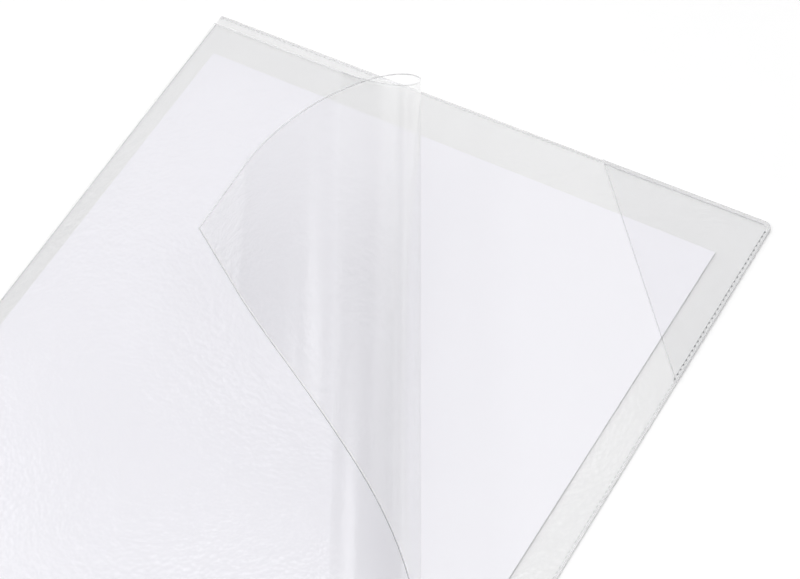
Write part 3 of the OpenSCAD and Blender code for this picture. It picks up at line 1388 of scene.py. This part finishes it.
@dataclass
class Studio:
    """Pale table, soft light and the camera, in metres."""

    eye: Point = (0.3484, -0.25614, 0.66861)
    right: Point = (0.8408, 0.51694, -0.16071)
    up: Point = (-0.35438, 0.75002, 0.55847)
    back: Point = (0.40923, -0.41261, 0.81381)
    lens: float = 108.0
    sensor: float = 36.0
    clip: tuple[float, float] = (0.01, 50.0)
    table_white: TableWhite = TableWhite()
    table_half: float = 4.0
    table_cells: int = 8
    table_drop: float = 0.0002
    film_bounces: int = 48
    far: Point = (-0.5195, 0.8545, 0.0)
    near_level: float = 0.1
    far_level: float = 0.78
    far_step: tuple[float, float] = (0.545, 0.63)
    fall_step: tuple[float, float] = (0.65, 0.68)
    fall_share: float = 0.6
    side: Point = (0.8545, 0.5195, 0.0)
    side_band: tuple[float, float] = (0.42, 0.46)
    side_steps: tuple[tuple[float, float], ...] = ((-0.02, 0.2), (0.62, 0.74))
    side_level: float = 0.45
    lamps: tuple[Lamp, ...] = (
        Lamp("strip_softbox", place=(-0.71, 0.79, 1.6), aim=(-0.71, 0.79, 0.0), along=(0.992, 0.1235, 0.0),
             size=(0.15, 0.44), power=0.32),
        Lamp("foot_softbox", place=(-1.773, 0.607, 2.385), aim=(0.0, 0.0, 0.0), along=(0.8545, 0.5195, 0.0),
             size=(0.2, 0.47), power=0.6),
        Lamp("overhead_softbox", place=(0.072, 0.073, 1.6), aim=(0.072, 0.073, 0.0),
             along=(-0.5195, 0.8545, 0.0), size=(2.6, 1.45), power=16.8),
        Lamp("front_softbox", place=(0.85, 0.15, 1.45), aim=(0.0, 0.05, 0.0), along=(0.0, 1.0, 0.0),
             size=(1.2, 1.2), power=6.7),
        Lamp("left_softbox", place=(-0.75, -0.45, 0.7), aim=(-0.05, 0.0, 0.0), along=(0.35, -0.94, 0.0),
             size=(1.2, 0.7), power=4.5),
    )

    def build(self) -> None:
        """Sets up the camera, the table, the lamps and the room."""
        self.camera()
        self.table()
        for lamp in self.lamps:
            self.hang(lamp)
        self.room()
        bpy.context.scene.view_settings.view_transform = "Standard"
        bpy.context.scene.cycles.transparent_max_bounces = self.film_bounces

    def camera(self) -> None:
        """Places the camera at the photograph's angle."""
        data = bpy.data.cameras.new("camera")
        data.lens, data.sensor_width, data.sensor_fit = self.lens, self.sensor, "HORIZONTAL"
        data.clip_start, data.clip_end = self.clip
        camera = bpy.data.objects.new("camera", data)
        bpy.context.scene.collection.objects.link(camera)
        turn = Matrix((self.right, self.up, self.back)).transposed().to_4x4()
        camera.matrix_world = Matrix.Translation(self.eye) @ turn
        bpy.context.scene.camera = camera

    def table(self) -> None:
        """Lays the white table under the pocket."""
        mesh = bmesh.new()
        bmesh.ops.create_grid(
            mesh, x_segments=self.table_cells, y_segments=self.table_cells, size=self.table_half)
        bmesh.ops.translate(mesh, verts=mesh.verts[:], vec=(0.0, 0.0, -self.table_drop))
        mesh_object("table", mesh, [self.table_white.material()])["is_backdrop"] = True

    def hang(self, lamp: Lamp) -> None:
        """Hangs one lamp.

        Args:
            lamp: The lamp.
        """
        data = bpy.data.lights.new(lamp.name, "AREA")
        data.shape, data.energy = "RECTANGLE", lamp.power
        data.size, data.size_y = lamp.size
        light = bpy.data.objects.new(lamp.name, data)
        bpy.context.scene.collection.objects.link(light)
        back = (Vector(lamp.place) - Vector(lamp.aim)).normalized()
        across = Vector(lamp.along).cross(back).normalized()
        turn = Matrix((across, back.cross(across), back)).transposed().to_4x4()
        light.matrix_world = Matrix.Translation(lamp.place) @ turn

    def room(self) -> None:
        """Makes the room's soft light: brighter from its far end and its right side, white to the camera."""
        world = bpy.data.worlds.new("room")
        bpy.context.scene.world = world
        world.use_nodes = True
        n = Nodes(world.node_tree)
        out, direction = n.add("ShaderNodeOutputWorld"), n.add("ShaderNodeTexCoord").outputs["Generated"]
        far, side = n.dot(direction, self.far), n.dot(direction, self.side)
        level = n.ramp(far, self.far_step, (self.near_level, self.far_level))
        band = n.ramp(far, self.side_band, (0.0, 1.0))
        for step in self.side_steps:
            glow = n.math("MULTIPLY", band, n.ramp(side, step, (0.0, self.side_level)))
            level = n.math("ADD", level, glow)
        level = n.math("MULTIPLY", level, n.ramp(far, self.fall_step, (1.0, self.fall_share)))
        seen = n.add("ShaderNodeLightPath").outputs["Is Camera Ray"]
        strength = n.mix_value(seen, level, 1.0)
        light = n.add("ShaderNodeBackground", {"Color": (1.0, 1.0, 1.0, 1.0), "Strength": strength})
        n.tree.links.new(light.outputs[0], out.inputs["Surface"])


def main() -> None:
    """Builds the studio and the pocket, reports each piece, and works out the CAD's box and the looks' box.
    """
    logging.basicConfig(level=logging.INFO, format="%(name)s: %(message)s")
    layers = Layers()
    rim, finishes = Rim(layers), Finishes()
    Studio().build()
    assemblies = (
        BackPanel(layers, rim, finishes),
        Seams(layers, rim, finishes),
        Document(layers, finishes),
        CornerPocket(layers, rim, finishes),
        CoverFilm(layers, RollPath(layers), finishes),
    )
    for assembly in assemblies:
        for piece in assembly.build():
            LOG.info("%s: %d faces", piece.name, len(piece.data.polygons))
    boxes = {"cad": CAD_BOX, "visual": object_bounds()}
    {name: [list(corner) for corner in box] for name, box in boxes.items()}


if __name__ == "__main__":
    main()
